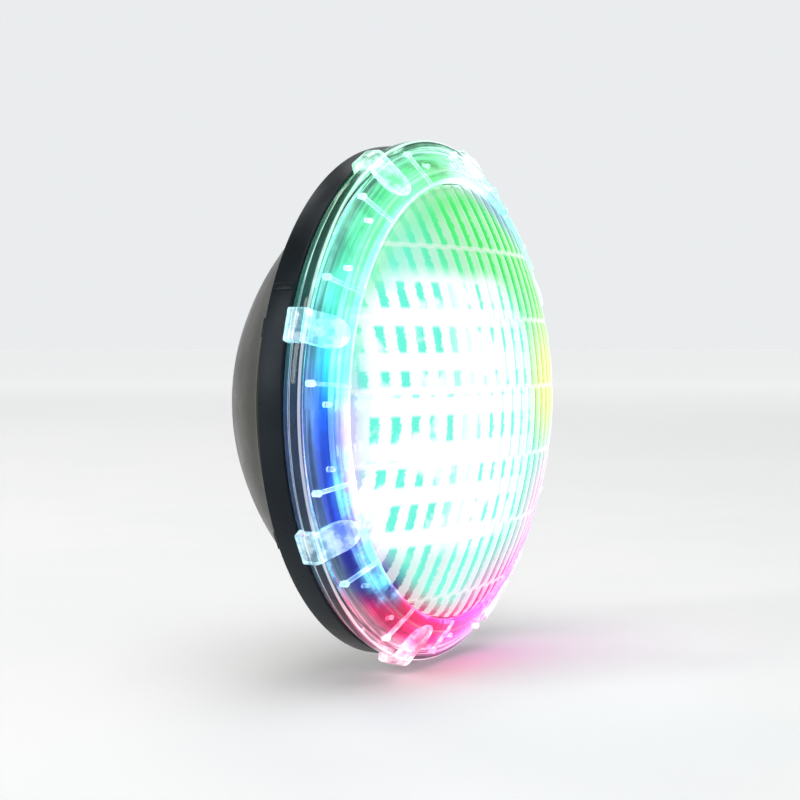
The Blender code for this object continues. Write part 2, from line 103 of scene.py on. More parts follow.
WHITE = (1.0, 1.0, 1.0)
HAZE = linear(228, 206, 255)  # lavender, where the lens's border blurs
CYAN = linear(112, 214, 246)  # the ring's lower part at -X
MINT = linear(150, 250, 196)  # the upper border at -X
CLEAR_IOR = 1.46


class Nodes:
    """A short way to write a material's node tree."""

    def __init__(self, name):
        self.material = bpy.data.materials.new(name)
        self.material.use_nodes = True
        self.tree = self.material.node_tree
        self.tree.nodes.clear()
        self.output = self.add("ShaderNodeOutputMaterial")
        self.coordinates = self.add("ShaderNodeTexCoord").outputs["Object"]

    def add(self, kind, **settings):
        node = self.tree.nodes.new(kind)
        for key, value in settings.items():
            setattr(node, key, value)
        return node

    def put(self, socket, value):
        """Link a socket, or set the input's own value."""
        if isinstance(value, bpy.types.NodeSocket):
            self.tree.links.new(value, socket)
        elif isinstance(value, tuple) and len(value) == 3 and socket.type == "RGBA":
            socket.default_value = (*value, 1.0)
        else:
            socket.default_value = value

    def maths(self, operation, first, second=0.0, third=0.0):
        node = self.add("ShaderNodeMath", operation=operation)
        for socket, value in zip(node.inputs, (first, second, third)):
            self.put(socket, value)
        return node.outputs[0]

    times = partialmethod(maths, "MULTIPLY")
    times_plus = partialmethod(maths, "MULTIPLY_ADD")
    plus = partialmethod(maths, "ADD")
    minus = partialmethod(maths, "SUBTRACT")
    one_minus = partialmethod(maths, "SUBTRACT", 1.0)
    over = partialmethod(maths, "DIVIDE")
    power = partialmethod(maths, "POWER")
    larger = partialmethod(maths, "MAXIMUM")
    magnitude = partialmethod(maths, "ABSOLUTE")
    fraction = partialmethod(maths, "FRACT")

    def remap(self, value, low, high, to_low=0.0, to_high=1.0, smooth=True):
        kind = "SMOOTHSTEP" if smooth else "LINEAR"
        node = self.add("ShaderNodeMapRange", interpolation_type=kind, clamp=True)
        for key, item in (("Value", value), ("From Min", low), ("From Max", high),
                          ("To Min", to_low), ("To Max", to_high)):
            self.put(node.inputs[key], item)
        return node.outputs["Result"]

    def fall(self, value, low, high, start=1.0):
        """start below low, falling softly to 0 above high."""
        return self.remap(value, low, high, start, 0.0)

    def mix(self, share, first, second, blend="MIX"):
        node = self.add("ShaderNodeMix", data_type="RGBA", blend_type=blend, clamp_factor=True)
        self.put(node.inputs[0], share)
        self.put(node.inputs[6], first)
        self.put(node.inputs[7], second)
        return node.outputs[2]

    def axes(self):
        node = self.add("ShaderNodeSeparateXYZ")
        self.put(node.inputs[0], self.coordinates)
        return tuple(node.outputs)

    def scaled(self, x, y, z):
        node = self.add("ShaderNodeMapping")
        self.put(node.inputs["Vector"], self.coordinates)
        node.inputs["Scale"].default_value = (x, y, z)
        return node.outputs["Vector"]

    def noise(self, scale, detail=3.0, roughness=0.55, vector=None):
        node = self.add("ShaderNodeTexNoise")
        self.put(node.inputs["Vector"], vector or self.coordinates)
        for key, item in (("Scale", scale), ("Detail", detail), ("Roughness", roughness)):
            self.put(node.inputs[key], item)
        return node.outputs["Fac"]

    def bump(self, height, strength, distance, below=None):
        node = self.add("ShaderNodeBump")
        for key, item in (("Strength", strength), ("Distance", distance), ("Height", height)):
            self.put(node.inputs[key], item)
        if below is not None:
            self.put(node.inputs["Normal"], below)
        return node.outputs["Normal"]

    def principled(self, **inputs):
        """The finished material, with this surface."""
        shader = self.add("ShaderNodeBsdfPrincipled")
        for key, value in inputs.items():
            self.put(shader.inputs[key.replace("_", " ")], value)
        self.tree.links.new(shader.outputs[0], self.output.inputs["Surface"])
        return self.material


def moulded_plastic(name, light, dark, rough_low, rough_high, grain, specular=0.5, sheen=WHITE):
    """Moulded plastic: cloudy tone, flow streaks along the moulding, fine grain and faint scuffs."""
    made = Nodes(name)
    tone = made.mix(made.remap(made.noise(28, 4), 0.3, 0.7), dark, light)
    streak = made.noise(1.0, 3, vector=made.scaled(40, 420, 40))
    tone = made.mix(made.remap(streak, 0.55, 0.8, 0.0, 0.25), tone, light)
    scuff = made.noise(1.0, 6, 0.7, made.scaled(900, 160, 160))
    scuffs = made.remap(scuff, 0.68, 0.8, 0.0, 0.35)
    tone = made.mix(scuffs, tone, tuple(min(1.0, part * 2.2 + 0.02) for part in light))
    rough = made.remap(made.noise(60, 5), 0.3, 0.7, rough_low, rough_high, smooth=False)
    fine = made.bump(made.noise(3800, 2), grain, 0.00004)
    relief = made.bump(made.noise(300, 3), 0.12, 0.00012, fine)
    return made.principled(
        Base_Color=tone, Roughness=rough, Specular_IOR_Level=specular, Specular_Tint=sheen, Normal=relief,
    )


def rubber():
    made = Nodes("black_rubber_fine")
    tone = made.mix(made.remap(made.noise(90, 4), 0.3, 0.7), (0.008, 0.008, 0.009), (0.028, 0.028, 0.030))
    relief = made.bump(made.noise(2600, 3), 0.3, 0.00005)
    rough = made.remap(made.noise(220, 3), 0.3, 0.7, 0.62, 0.85)
    return made.principled(Base_Color=tone, Roughness=rough, Normal=relief)


def metal(name, light, dark, rough_low, rough_high, stretch):
    """Machined metal: fine lines along the stretch, with stains and a rougher patch here and there."""
    made = Nodes(name)
    lines = made.noise(1.0, 4, 0.6, made.scaled(*stretch))
    tone = made.mix(made.remap(made.noise(180, 5), 0.45, 0.75, 0.0, 0.6), light, dark)
    tone = made.mix(made.remap(lines, 0.35, 0.65, 0.0, 0.3), tone, dark)
    rough = made.remap(lines, 0.3, 0.7, rough_low, rough_high, smooth=False)
    relief = made.bump(lines, 0.2, 0.00003)
    return made.principled(Base_Color=tone, Metallic=1.0, Roughness=rough, Normal=relief)


def printed_board(name, mask, ring):
    """Solder mask with printed tracks below it, which show as slightly lighter raised lines."""
    made = Nodes(name)
    tracks = made.add("ShaderNodeTexVoronoi", feature="DISTANCE_TO_EDGE", distance="CHEBYCHEV")
    made.put(tracks.inputs["Vector"], made.coordinates)
    tracks.inputs["Scale"].default_value = 260
    line = made.fall(tracks.outputs["Distance"], 0.06, 0.12)
    tone = made.mix(made.times(line, 0.5), mask, ring)
    tone = made.mix(made.remap(made.noise(400, 3), 0.4, 0.7, 0.0, 0.15), tone, ring)
    return made.principled(Base_Color=tone, Roughness=0.35, Normal=made.bump(line, 0.3, 0.00004))


def ring_colour(made, x, z):
    """The light that the clear ring pipes round the lamp: one colour after another with the angle."""
    twist = made.remap(from_axis(made, x, z), 0.0770, 0.0890, -0.014, 0.028, smooth=False)
    turn = made.maths("ARCTAN2", z, x)
    ramp = made.add("ShaderNodeValToRGB")
    stops = (
        (-180, (28, 122, 240)), (-169, (20, 84, 226)), (-157, (14, 52, 206)), (-144, (4, 10, 150)),
        (-134, (40, 0, 130)), (-126, (205, 0, 100)), (-98, (252, 30, 140)), (-70, (255, 80, 215)),
        (-45, (250, 140, 235)), (-20, (200, 140, 240)), (0, (235, 225, 120)), (20, (180, 245, 130)),
        (45, (120, 225, 180)), (65, (125, 185, 208)), (82, (178, 212, 200)), (98, (140, 236, 168)),
        (120, (122, 240, 176)), (140, (128, 242, 196)), (156, (110, 241, 214)), (167, (84, 228, 232)),
        (174, (48, 185, 242)), (180, (28, 122, 240)),
    )
    elements = ramp.color_ramp.elements
    while len(elements) < len(stops):
        elements.new(0.5)
    for element, (angle, tint) in zip(elements, stops):
        element.position = angle / 360 + 0.5
        element.color = (*linear(*tint), 1.0)
    share = made.times_plus(turn, 1 / tau, made.plus(twist, 1.5))
    made.put(ramp.inputs[0], made.fraction(share))
    return ramp.outputs[0]


def from_axis(made, x, z, centre=(0.0, 0.0), half=(1.0, 1.0)):
    """Distance from a point of the front, with each direction counted in its own half size."""
    across = made.over(made.minus(x, centre[0]), half[0])
    up = made.over(made.minus(z, centre[1]), half[1])
    return made.maths("SQRT", made.times_plus(across, across, made.times(up, up)))


def soft_ellipse(made, x, z, centre, half, near):
    """1 up to the share near of an ellipse's half sizes, falling to 0 at its edge."""
    return made.fall(from_axis(made, x, z, centre, half), near, 1.0)


def cyan_sector(made, x, z):
    """1 where the ring's lower part at -X glows cyan."""
    return soft_ellipse(made, x, z, (-0.066, -0.042), (0.036, 0.036), 0.55)


def border_haze(made, x, z):
    """1 on the part of the lens's border at -X where the light blurs to lavender."""
    return soft_ellipse(made, x, z, (-0.074, -0.026), (0.036, 0.040), 0.55)


def mint_haze(made, x, z):
    """1 on the upper border at -X, where the light of the lens and of the ring runs together."""
    return soft_ellipse(made, x, z, (-0.058, 0.046), (0.042, 0.050), 0.45)


def glow_colour(made):
    """The lamp's colours over its front, which turn into the ring's own colours at the lens's border."""
    x, _, z = made.axes()
    patches = (  # centre, half sizes, where the patch starts to fade, colour
        ((0.006, 0.072), (0.066, 0.066), 0.36, (62, 238, 110)),  # green top
        ((0.046, 0.046), (0.044, 0.044), 0.32, (95, 242, 105)),  # green shoulder
        ((0.036, 0.006), (0.038, 0.032), 0.20, (234, 246, 118)),  # yellow at +X
        ((0.048, -0.040), (0.044, 0.036), 0.20, (255, 190, 230)),  # pale pink below it
        ((0.016, -0.080), (0.040, 0.040), 0.25, (255, 66, 196)),  # pink bottom
        ((0.078, 0.036), (0.029, 0.054), 0.72, (104, 176, 238)),  # blue edge at +X
        ((0.074, -0.018), (0.023, 0.030), 0.50, (222, 158, 240)),  # lavender edge at +X
    )
    colour = linear(112, 250, 222)
    for centre, half, near, tint in patches:
        colour = made.mix(soft_ellipse(made, x, z, centre, half, near), colour, linear(*tint))
    radius = from_axis(made, x, z)
    border_start, border_end, wider_at_far_side = 0.0665, 0.0745, 0.28
    far_side = made.times(made.larger(x, 0.0), wider_at_far_side)
    edge = made.remap(made.plus(radius, far_side), border_start, border_end)
    rim = made.mix(made.times(border_haze(made, x, z), 0.9), ring_colour(made, x, z), HAZE)
    rim = made.mix(made.times(mint_haze(made, x, z), 0.6), rim, MINT)
    return made.mix(edge, colour, rim), x, z, radius


def white_core(made, x, z):
    """1 over the light rows, falling to 0 at the soft edge of their rounded rectangle."""
    wobble = made.times(made.minus(made.noise(60, 3), 0.5), 0.16)

    def share(place, shift, half):
        return made.power(made.over(made.magnitude(made.plus(place, shift)), half), 4.0)

    across = share(x, 0.0275, 0.0445)
    up = share(z, 0.0030, 0.0470)
    reach = made.plus(made.power(made.plus(across, up), 0.25), wobble)
    return made.fall(reach, 0.86, 1.02)


def row_bands(made, z, width):
    """1 on each light row's height and 0 between the rows."""
    shifted = made.plus(made.over(z, ROW_PITCH), ROW_OFFSET)
    phase = made.minus(made.fraction(shifted), 0.5)
    return made.fall(made.magnitude(phase), width * 0.6, width)


def flute_phase(made, x, z):
    """Place across each flute, 0 on its crown and 0.5 in its valley, and the distance to a cross line."""
    row = made.over(made.minus(z, FLUTE_ROW_START), FLUTE_ROW)
    shift = made.times(made.maths("PINGPONG", made.maths("FLOOR", row), 1.0), 0.5)
    across = made.plus(made.over(x, FLUTE_PITCH), made.plus(shift, FLUTE_OFFSET))
    phase = made.magnitude(made.minus(made.fraction(across), 0.5))
    line = made.magnitude(made.minus(row, made.maths("ROUND", row)))
    return phase, made.times(line, FLUTE_ROW)


def lens_material():
    """Clear fluted lens, lit from behind: pale crowns, deeper stripes along the valleys, white bands."""
    made = Nodes("lit_fluted_lens")
    colour, x, z, radius = glow_colour(made)
    core = white_core(made, x, z)
    phase, line = flute_phase(made, x, z)

    # Three stripes along each valley: wide and medium ones with ragged edges, and a thin smoother one.
    ragged = made.times(made.minus(made.noise(700, 4, 0.65), 0.5), 0.36)
    waver = made.times(made.minus(made.noise(120, 2), 0.5), 0.16)
    rough_phase = made.plus(phase, made.plus(ragged, waver))
    wide = made.remap(rough_phase, 0.24, 0.33)
    thin = made.remap(made.times_plus(ragged, 0.3, phase), 0.41, 0.47)
    medium = made.remap(rough_phase, 0.31, 0.40)

    # In the bright core: patchy dashes between the light rows, and thin lines instead of them towards +X.
    gap = made.one_minus(row_bands(made, z, 0.25))
    patchy = made.remap(made.noise(75, 3), 0.38, 0.50, 0.15, 1.0)
    wide_dash = made.times(wide, made.fall(x, -0.040, -0.026))
    medium_dash = made.times(medium, made.remap(x, -0.032, -0.020, 0.0, 0.95))
    off_line = made.remap(line, 0.0005, 0.0018)
    dash = made.times(made.larger(wide_dash, medium_dash), made.times(patchy, off_line))
    fine = made.times(thin, made.remap(x, -0.024, 0.004, 0.0, 0.80))
    in_core = made.larger(made.times(dash, gap), fine)

    # Round the core: pale crowns, coloured valleys that darken towards +X, and white cross lines.
    whiter = made.times(made.remap(z, -0.045, 0.045, 0.72, 0.24), made.remap(x, -0.02, 0.035, 1.0, 0.35))
    pale = made.mix(whiter, colour, WHITE)
    outside = made.mix(wide, pale, colour)
    shade = made.mix(1.0, colour, (0.20, 0.34, 0.28), "MULTIPLY")
    far_side = made.remap(x, -0.030, 0.030, 0.0, 0.95)
    outside = made.mix(made.times(thin, far_side), outside, shade)
    outside = made.mix(made.fall(line, 0.0004, 0.0011, 0.50), outside, WHITE)

    white = made.mix(made.remap(x, -0.016, 0.014, 0.0, 0.45), (1.25, 1.3, 1.3), pale)
    inside = made.mix(in_core, white, made.mix(0.6, colour, (0.10, 0.98, 0.80)))
    glow = made.mix(core, outside, inside)
    halo = made.fall(radius, 0.0620, 0.0700, 0.35)
    glow = made.mix(made.times(halo, made.one_minus(wide)), glow, (1.0, 0.93, 1.0))
    base = made.mix(1.0, made.mix(0.8, WHITE, colour), (0.22, 0.22, 0.22), "MULTIPLY")
    return made.principled(
        Base_Color=base, Roughness=0.03, IOR=CLEAR_IOR, Specular_IOR_Level=0.25,
        Specular_Tint=(0.25, 0.27, 0.28), Transmission_Weight=0.35, Emission_Color=glow,
        Emission_Strength=0.80, Normal=made.bump(made.noise(900, 3), 0.05, 0.00005),
    )


def clear_inside_material():
    """The lens's inner face and neck: clear, with faint moulding waves."""
    made = Nodes("clear_inside")
    tone = made.mix(made.remap(made.noise(60, 3), 0.4, 0.6), (0.93, 0.98, 0.98), WHITE)
    return made.principled(
        Base_Color=tone, Roughness=0.04, IOR=CLEAR_IOR, Transmission_Weight=1.0,
        Normal=made.bump(made.noise(400, 2), 0.05, 0.00005),
    )


def bezel_material():
    """Clear moulded ring that pipes the light: lit lines on its edges, streaks along it, and painted shade on
    its wall.
    """
    made = Nodes("lit_clear_bezel")
    x, y, z = made.axes()
    colour = ring_colour(made, x, z)
    radius = from_axis(made, x, z)
    turn = made.maths("ARCTAN2", z, x)
    place = made.add("ShaderNodeCombineXYZ")
    made.put(place.inputs[0], made.times(radius, 900.0))
    made.put(place.inputs[1], made.times(turn, 2.2))
    streak = made.remap(made.noise(1.0, 3, 0.6, place.outputs[0]), 0.36, 0.62)
    patch = made.remap(made.noise(55, 3), 0.36, 0.64, 0.45, 1.0)
    piped = made.times(made.times_plus(streak, 0.55, 0.35), patch)
    outer_land = made.remap(radius, 0.0820, 0.0850)

    def band(value, middle, half):
        return made.fall(made.magnitude(made.minus(value, middle)), half * 0.5, half)

    # Two lit lines round the rim and a fainter one at the step by the lens.
    on_rim = made.remap(radius, 0.0876, 0.0881)
    rim_lines = made.times(made.larger(band(y, -0.0122, 0.0004), band(y, -0.0156, 0.0005)), on_rim)
    lines = made.larger(rim_lines, made.times(band(radius, 0.0785, 0.0004), 0.4))
    # Painted shade: the rim's wall and the part behind it get a darker colour and less glow.
    wall = made.times(on_rim, made.one_minus(lines))
    behind = made.times(made.remap(y, -0.0168, -0.0160), made.one_minus(lines))
    dark = made.larger(wall, behind)

    # The colours that blur over from the lens, strongest next to it.
    colour = made.mix(made.times(outer_land, 0.28), colour, (0.55, 1.0, 1.0))
    near_lens = made.times(border_haze(made, x, z), made.fall(radius, 0.0745, 0.0800, 0.85))
    colour = made.mix(near_lens, colour, HAZE)
    mint = made.times(mint_haze(made, x, z), made.fall(radius, 0.0745, 0.0820, 0.85))
    colour = made.mix(mint, colour, MINT)
    inner_band = made.times(cyan_sector(made, x, z), made.fall(radius, 0.0775, 0.0822))
    cyan = made.times(inner_band, made.remap(made.noise(95, 4), 0.40, 0.56))
    colour = made.mix(cyan, colour, CYAN)
    pale = made.mix(0.75, colour, WHITE)

    lip = made.fall(radius, 0.0746, 0.0764, 0.45)
    # The painted shade on the rim's wall and behind it also dims the glow there.
    strength = made.times(piped, made.minus(0.98, made.times(dark, 0.92)))
    strength = made.plus(strength, made.times_plus(cyan, 0.25, lip))
    strength = made.times_plus(mint, 0.16, strength)
    return made.principled(
        Base_Color=made.mix(dark, made.mix(0.9, WHITE, colour), (0.24, 0.32, 0.32)),
        Roughness=0.05, IOR=CLEAR_IOR, Specular_Tint=(0.55, 0.58, 0.60), Transmission_Weight=1.0,
        Emission_Color=made.mix(lines, colour, pale),
        Emission_Strength=made.larger(strength, made.times(lines, 0.62)),
        Normal=made.bump(made.noise(500, 3), 0.06, 0.00006),
    )


def clip_material(name, glow, steady, upper=1.0):
    """Clear clips or ribs: paler than the ring, with cloudy light inside."""
    made = Nodes(name)
    x, _, z = made.axes()
    share = made.times(cyan_sector(made, x, z), 0.85)
    colour = made.mix(share, ring_colour(made, x, z), CYAN)
    cloud = made.remap(made.noise(230, 3), 0.38, 0.62)
    fade = made.remap(z, -0.020, 0.030, 1.0, upper)
    tint = made.mix(0.35, colour, (0.80, 0.95, 0.95))
    pale = made.mix(0.80, colour, (0.90, 1.0, 1.0))
    return made.principled(
        Base_Color=made.mix(0.25, WHITE, colour), Roughness=0.06, IOR=CLEAR_IOR,
        Transmission_Weight=1.0, Emission_Color=made.mix(cloud, tint, pale),
        Emission_Strength=made.times(made.times_plus(cloud, glow, steady), fade),
        Normal=made.bump(made.noise(420, 3), 0.1, 0.00008),
    )


def light_field_material():
    """The lit board behind the lens: bright bands on the light rows, tinted light between them."""
    made = Nodes("light_field")
    colour, x, z, _ = glow_colour(made)
    core = white_core(made, x, z)
    bands = row_bands(made, z, 0.30)
    lit = made.mix(made.times(bands, core), colour, WHITE)
    return made.principled(
        Base_Color=(0.20, 0.21, 0.21), Roughness=0.5,
        Emission_Color=lit, Emission_Strength=0.16,
        Normal=made.bump(made.noise(700, 3), 0.1, 0.00008),
    )


def emitter(name, tint, strength):
    """A light source's dome: its tint, paler in random patches."""
    made = Nodes(name)
    paler = tuple(0.5 + 0.5 * part for part in tint)
    colour = made.mix(made.remap(made.noise(900, 2), 0.35, 0.65), tint, paler)
    return made.principled(Base_Color=tint, Roughness=0.25, Emission_Color=colour, Emission_Strength=strength)


# ---- shape helpers ----
def place_in_scene(name, data):
    made = bpy.data.objects.new(name, data)
    bpy.context.scene.collection.objects.link(made)
    return made


def add_piece(name, points, faces, material, body=BODY, sharp=35):
    """A closed piece made of points and faces."""
    shape = bmesh.new()
    corners = [shape.verts.new(point) for point in points]
    for face in faces:
        shape.faces.new([corners[index] for index in face])
    return add_shape(name, shape, material, body, sharp)


def add_shape(name, shape, material, body=BODY, sharp=35):
    """Turn a bmesh into a piece: faces out, smooth up to sharp edges, riding on a body."""
    bmesh.ops.recalc_face_normals(shape, faces=shape.faces)
    if shape.calc_volume(signed=True) < 0:
        bmesh.ops.reverse_faces(shape, faces=shape.faces)
    mesh = bpy.data.meshes.new(name)
    shape.to_mesh(mesh)
    shape.free()
    mesh.shade_smooth()
    mesh.set_sharp_from_angle(angle=radians(sharp))
    mesh.materials.append(material)
    piece = place_in_scene(name, mesh)
    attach(piece, body)
    return piece


def rounded(outline, radius, steps=4):
    """The closed outline with every corner rounded, by at most a third of the shorter side there."""
    smooth = []
    count = len(outline)
    for index, corner in enumerate(outline):
        here = Vector(corner)
        before, after = Vector(outline[index - 1]), Vector(outline[(index + 1) % count])
        reach = min(radius, (before - here).length / 3, (after - here).length / 3)
        start = here + (before - here).normalized() * reach
        end = here + (after - here).normalized() * reach
        for step in range(steps + 1):
            share = step / steps
            point = start.lerp(here, share).lerp(here.lerp(end, share), share)
            smooth.append((point.x, point.y))
    return smooth


def curve_through(points, steps):
    """A smooth path through the points."""
    path = []
    for index in range(len(points) - 1):
        p0 = Vector(points[max(index - 1, 0)])
        p1, p2 = Vector(points[index]), Vector(points[index + 1])
        p3 = Vector(points[min(index + 2, len(points) - 1)])
        for step in range(steps):
            t = step / steps
            point = 0.5 * (2 * p1 + (p2 - p0) * t + (2 * p0 - 5 * p1 + 4 * p2 - p3) * t * t
                           + (3 * p1 - p0 - 3 * p2 + p3) * t**3)
            path.append((point.x, point.y))
    path.append(tuple(points[-1]))
    return path


def offset_path(path, distance):
    """The path moved sideways by distance, each point along its own normal."""
    moved = []
    for index, (radius, y) in enumerate(path):
        before, after = path[max(index - 1, 0)], path[min(index + 1, len(path) - 1)]
        along = Vector((after[0] - before[0], after[1] - before[1])).normalized()
        moved.append((radius - along.y * distance, y + along.x * distance))
    return moved


def quads_between(first, second):
    """Faces between two matching rings."""
    return list(zip(first, [*first[1:], first[0]], [*second[1:], second[0]], second))


def turned_mesh(outline, segments, centre=(0.0, 0.0)):
    """Points and faces of an outline turned about the Y line through centre; ends on the axis are closed."""
    x, z = centre
    points, rings = [], []
    for radius, y in outline:
        if radius < 1e-7:
            rings.append([len(points)])
            points.append((x, y, z))
            continue
        rings.append(list(range(len(points), len(points) + segments)))
        for index in range(segments):
            angle = tau * index / segments
            points.append((x + radius * cos(angle), y, z + radius * sin(angle)))
    closed = outline[0][0] > 1e-7 and outline[-1][0] > 1e-7
    pairs = list(zip(rings, rings[1:] + rings[:1])) if closed else list(zip(rings, rings[1:]))
    faces = []
    for first, second in pairs:
        if len(first) == 1:
            faces += [(first[0], after, here) for here, after in zip(second, second[1:] + second[:1])]
        elif len(second) == 1:
            faces += [(here, after, second[0]) for here, after in zip(first, first[1:] + first[:1])]
        else:
            faces += quads_between(first, second)
    return points, faces


def turned(name, outline, material, segments=FINE, centre=(0.0, 0.0), body=BODY, sharp=35):
    points, faces = turned_mesh(outline, segments, centre)
    return add_piece(name, points, faces, material, body, sharp)


def add_turned(name, shape, angle, material):
    """Add a bmesh made in the plane of angle 0, turned to its own angle about the lamp's axis."""
    bmesh.ops.transform(shape, matrix=Matrix.Rotation(-angle, 4, "Y"), verts=shape.verts)
    add_shape(name, shape, material)


def radial_block(name, outline, width, angle, edge, material):
    """An outline in the radial plane at this angle, extruded across it, with bevelled edges."""
    shape = bmesh.new()
    corners = [shape.verts.new((radius, y, -width / 2)) for radius, y in outline]
    side = shape.faces.new(corners)
    made = bmesh.ops.extrude_face_region(shape, geom=[side])["geom"]
    top = [item for item in made if isinstance(item, bmesh.types.BMVert)]
    bmesh.ops.translate(shape, verts=top, vec=(0, 0, width))
    bmesh.ops.recalc_face_normals(shape, faces=shape.faces)
    bmesh.ops.bevel(shape, geom=shape.edges[:], offset=edge, segments=3, profile=0.5, affect="EDGES")
    add_turned(name, shape, angle, material)


def join_loops(shape, low, high):
    """Close two matching loops of vertices into a prism."""
    for corners in (low, high, *quads_between(low, high)):
        shape.faces.new(corners)
    bmesh.ops.recalc_face_normals(shape, faces=shape.faces)


# ---- black pan ----
def housing_pan(plastic):
    """The pan with its lip and shelf, three slight bands across its side, and the catch blocks behind."""
    wall, floor, shelf, shelf_radius = 0.0030, 0.0030, 0.0060, 0.0814
    lip = PAN_RADIUS - wall
    groove_low, groove_high, groove_depth = 0.0700, 0.0714, 0.0003
    outline = rounded([
        (LEAD_BORE, 0.0), (groove_low, 0.0), (groove_low + 0.0002, -groove_depth),
        (groove_high - 0.0002, -groove_depth), (groove_high, 0.0),
        (PAN_RADIUS, 0.0), (PAN_RADIUS, PAN_FRONT), (lip, PAN_FRONT), (lip, -shelf),
        (shelf_radius, -shelf), (shelf_radius, -floor), (LEAD_BORE, -floor),
    ], 0.0007)
    pan = turned("pan_shell", outline, plastic)
    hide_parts("housing_pan")
    for index, angle in enumerate(CLIP_ANGLES):
        block = [(0.0833, -0.0008), (0.0869, -0.0008), (0.0869, 0.0010), (0.0838, 0.0014)]
        radial_block(f"catch_block_{index + 1}", block, 0.0062, angle, 0.0003, plastic)
    sunk, proud = PAN_RADIUS - 0.0012, PAN_RADIUS + 0.0003
    for index, angle in enumerate(BAND_ANGLES):
        strip = [(sunk, -0.0006), (proud, -0.0009), (proud, PAN_FRONT + 0.0009), (sunk, PAN_FRONT + 0.0006)]
        radial_block(f"pan_band_{index + 1}", strip, 0.0024, angle, 0.00025, plastic)


# ---- rear bowl ----
def rear_bowl(plastic):
    """The hollow bowl: a rim bead, the curved wall, and a round well for the terminals at its flat end."""
    back = curve_through([
        (0.0752, 0.0088), (0.0742, 0.0096), (0.0686, 0.0170), (0.0625, 0.0240), (0.0564, 0.0300),
        (0.0485, 0.0366), (0.0432, 0.0400), (0.0408, 0.0410), (0.0326, 0.0431), (0.0205, BOWL_BACK),
    ], 5)
    wall, bead_front, bead_radius = 0.0020, 0.00575, BOWL_RIM_RADIUS
    inside = offset_path(back, wall)
    rim = rounded([
        (0.0723, bead_front), (bead_radius, bead_front), (bead_radius, 0.0079), (0.0754, 0.0088),
    ], 0.0012)
    well_inner, well_outer, well_end = 0.0180, 0.0198, 0.0330
    well = [(well_inner + 0.0006, BOWL_BACK - 0.00005), (well_inner + 0.0002, BOWL_BACK - 0.0003),
            (well_inner, BOWL_BACK - 0.0009), (well_inner, well_end + 0.0002),
            (well_inner + 0.0002, well_end), (well_outer - 0.0002, well_end),
            (well_outer, well_end + 0.0002), (well_outer, inside[-1][1])]
    outline = rim + back[1:] + well + list(reversed(inside[2:-1]))
    bowl = turned("bowl_shell", outline, plastic)
    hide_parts("rear_bowl")
    for index, angle in enumerate(WEB_ANGLES):
        web(f"spacer_web_{index + 1}", angle, plastic)


def web(name, angle, plastic):
    """A spacer between pan and bowl: a post that widens into the bowl's rim."""
    half_depth, half_width, corner, sides = 0.0033, 0.0040, 0.0012, 24
    squareness = -0.82  # 0 gives an ellipse, -1 a rectangle
    levels = (  # height, and width there as a share of the post's own
        (0.0003, 1.00), (0.0010, 0.97), (0.0032, 0.92), (0.0046, 1.02), (0.0056, 1.28), (0.0080, 1.36),
    )
    turn_to_place = Matrix.Rotation(-angle, 3, "Y")
    points = []
    for y, grow in levels:
        for index in range(sides):
            turn = tau * index / sides
            across, deep = cos(turn), sin(turn)
            push = max(abs(across), abs(deep)) ** squareness
            x = half_depth * deep * push * (1.0 if grow < 1.1 else 0.98)
            z = (half_width * grow) * across * push
            points.append(turn_to_place @ Vector((WEB_RADIUS + min(x, half_depth - corner * 0.1), y, z)))
    rings = [range(level * sides, (level + 1) * sides) for level in range(len(levels))]
    faces = [tuple(rings[0])]
    for low, high in zip(rings, rings[1:]):
        faces += quads_between(low, high)
    faces.append(tuple(rings[-1]))
    add_piece(name, points, faces, plastic)


# ---- column and gasket ----
def column(plastic, gasket_rubber):
    floor, bore, tube_radius = 0.0056, 0.0150, 0.0175
    outline = rounded([
        (LEAD_BORE, COLUMN_FOOT), (COLUMN_FLANGE, COLUMN_FOOT),
        (COLUMN_FLANGE, 0.0032), (tube_radius, 0.0040),
        (tube_radius, COLUMN_END), (bore, COLUMN_END), (bore, floor), (LEAD_BORE, floor),
    ], 0.0006)
    tube = turned("column_tube", outline, plastic, 96)
    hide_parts("terminal_column")
    gap, gasket_radius = 0.00002, 0.0189
    low, high = gap, COLUMN_FOOT - gap
    ring = turned("column_gasket_ring", rounded([
        (LEAD_BORE, low), (gasket_radius, low), (gasket_radius, high), (LEAD_BORE, high),
    ], 0.0004), gasket_rubber, 96)
    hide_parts("column_gasket")


# ---- bezel ----
def bezel(clear, clip_clear, rib_clear):
    """The clear ring (foot, rim, outer land, groove, cone, inner band) with its ribs and clips."""
    ring = turned("bezel_ring", rounded([
        (0.0822, FOOT_BACK), (0.0874, FOOT_BACK), (0.0874, -0.0119), (RIM_RADIUS, -0.0121),
        (RIM_RADIUS, -0.0156), (0.0868, -0.0170), (0.0862, -0.0167), (0.0856, -0.0174),
        (0.0790, -0.0222), (0.0783, -0.0232), (0.0757, -0.0247), (0.0741, BEZEL_FRONT),
        (0.0741, -0.0228), (0.0775, -0.0207), (0.0822, -0.0172), (0.0846, -0.0150), (0.0822, -0.0122),
    ], 0.0006), clear, sharp=60)
    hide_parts("clear_bezel")
    for index, angle in enumerate(CLIP_ANGLES):
        clip_block(f"bezel_clip_{index + 1}", angle, clip_clear)
        clip_pad(f"clip_pad_{index + 1}", angle, clip_clear)
        for side in (-1, 1):
            number = 2 * index + (side > 0) + 1
            rib_angle, bump_angle = angle + side * RIB_TURN, angle + side * BUMP_TURN
            bezel_rib(f"bezel_rib_{number}", rib_angle, rib_clear)
            round_boss(f"rib_foot_{number}", rib_angle, 0.0856, -0.0172, 0.0011, rib_clear)
            round_boss(f"bezel_dot_{number}", bump_angle, 0.0806, -0.0202, 0.0009, clip_clear)


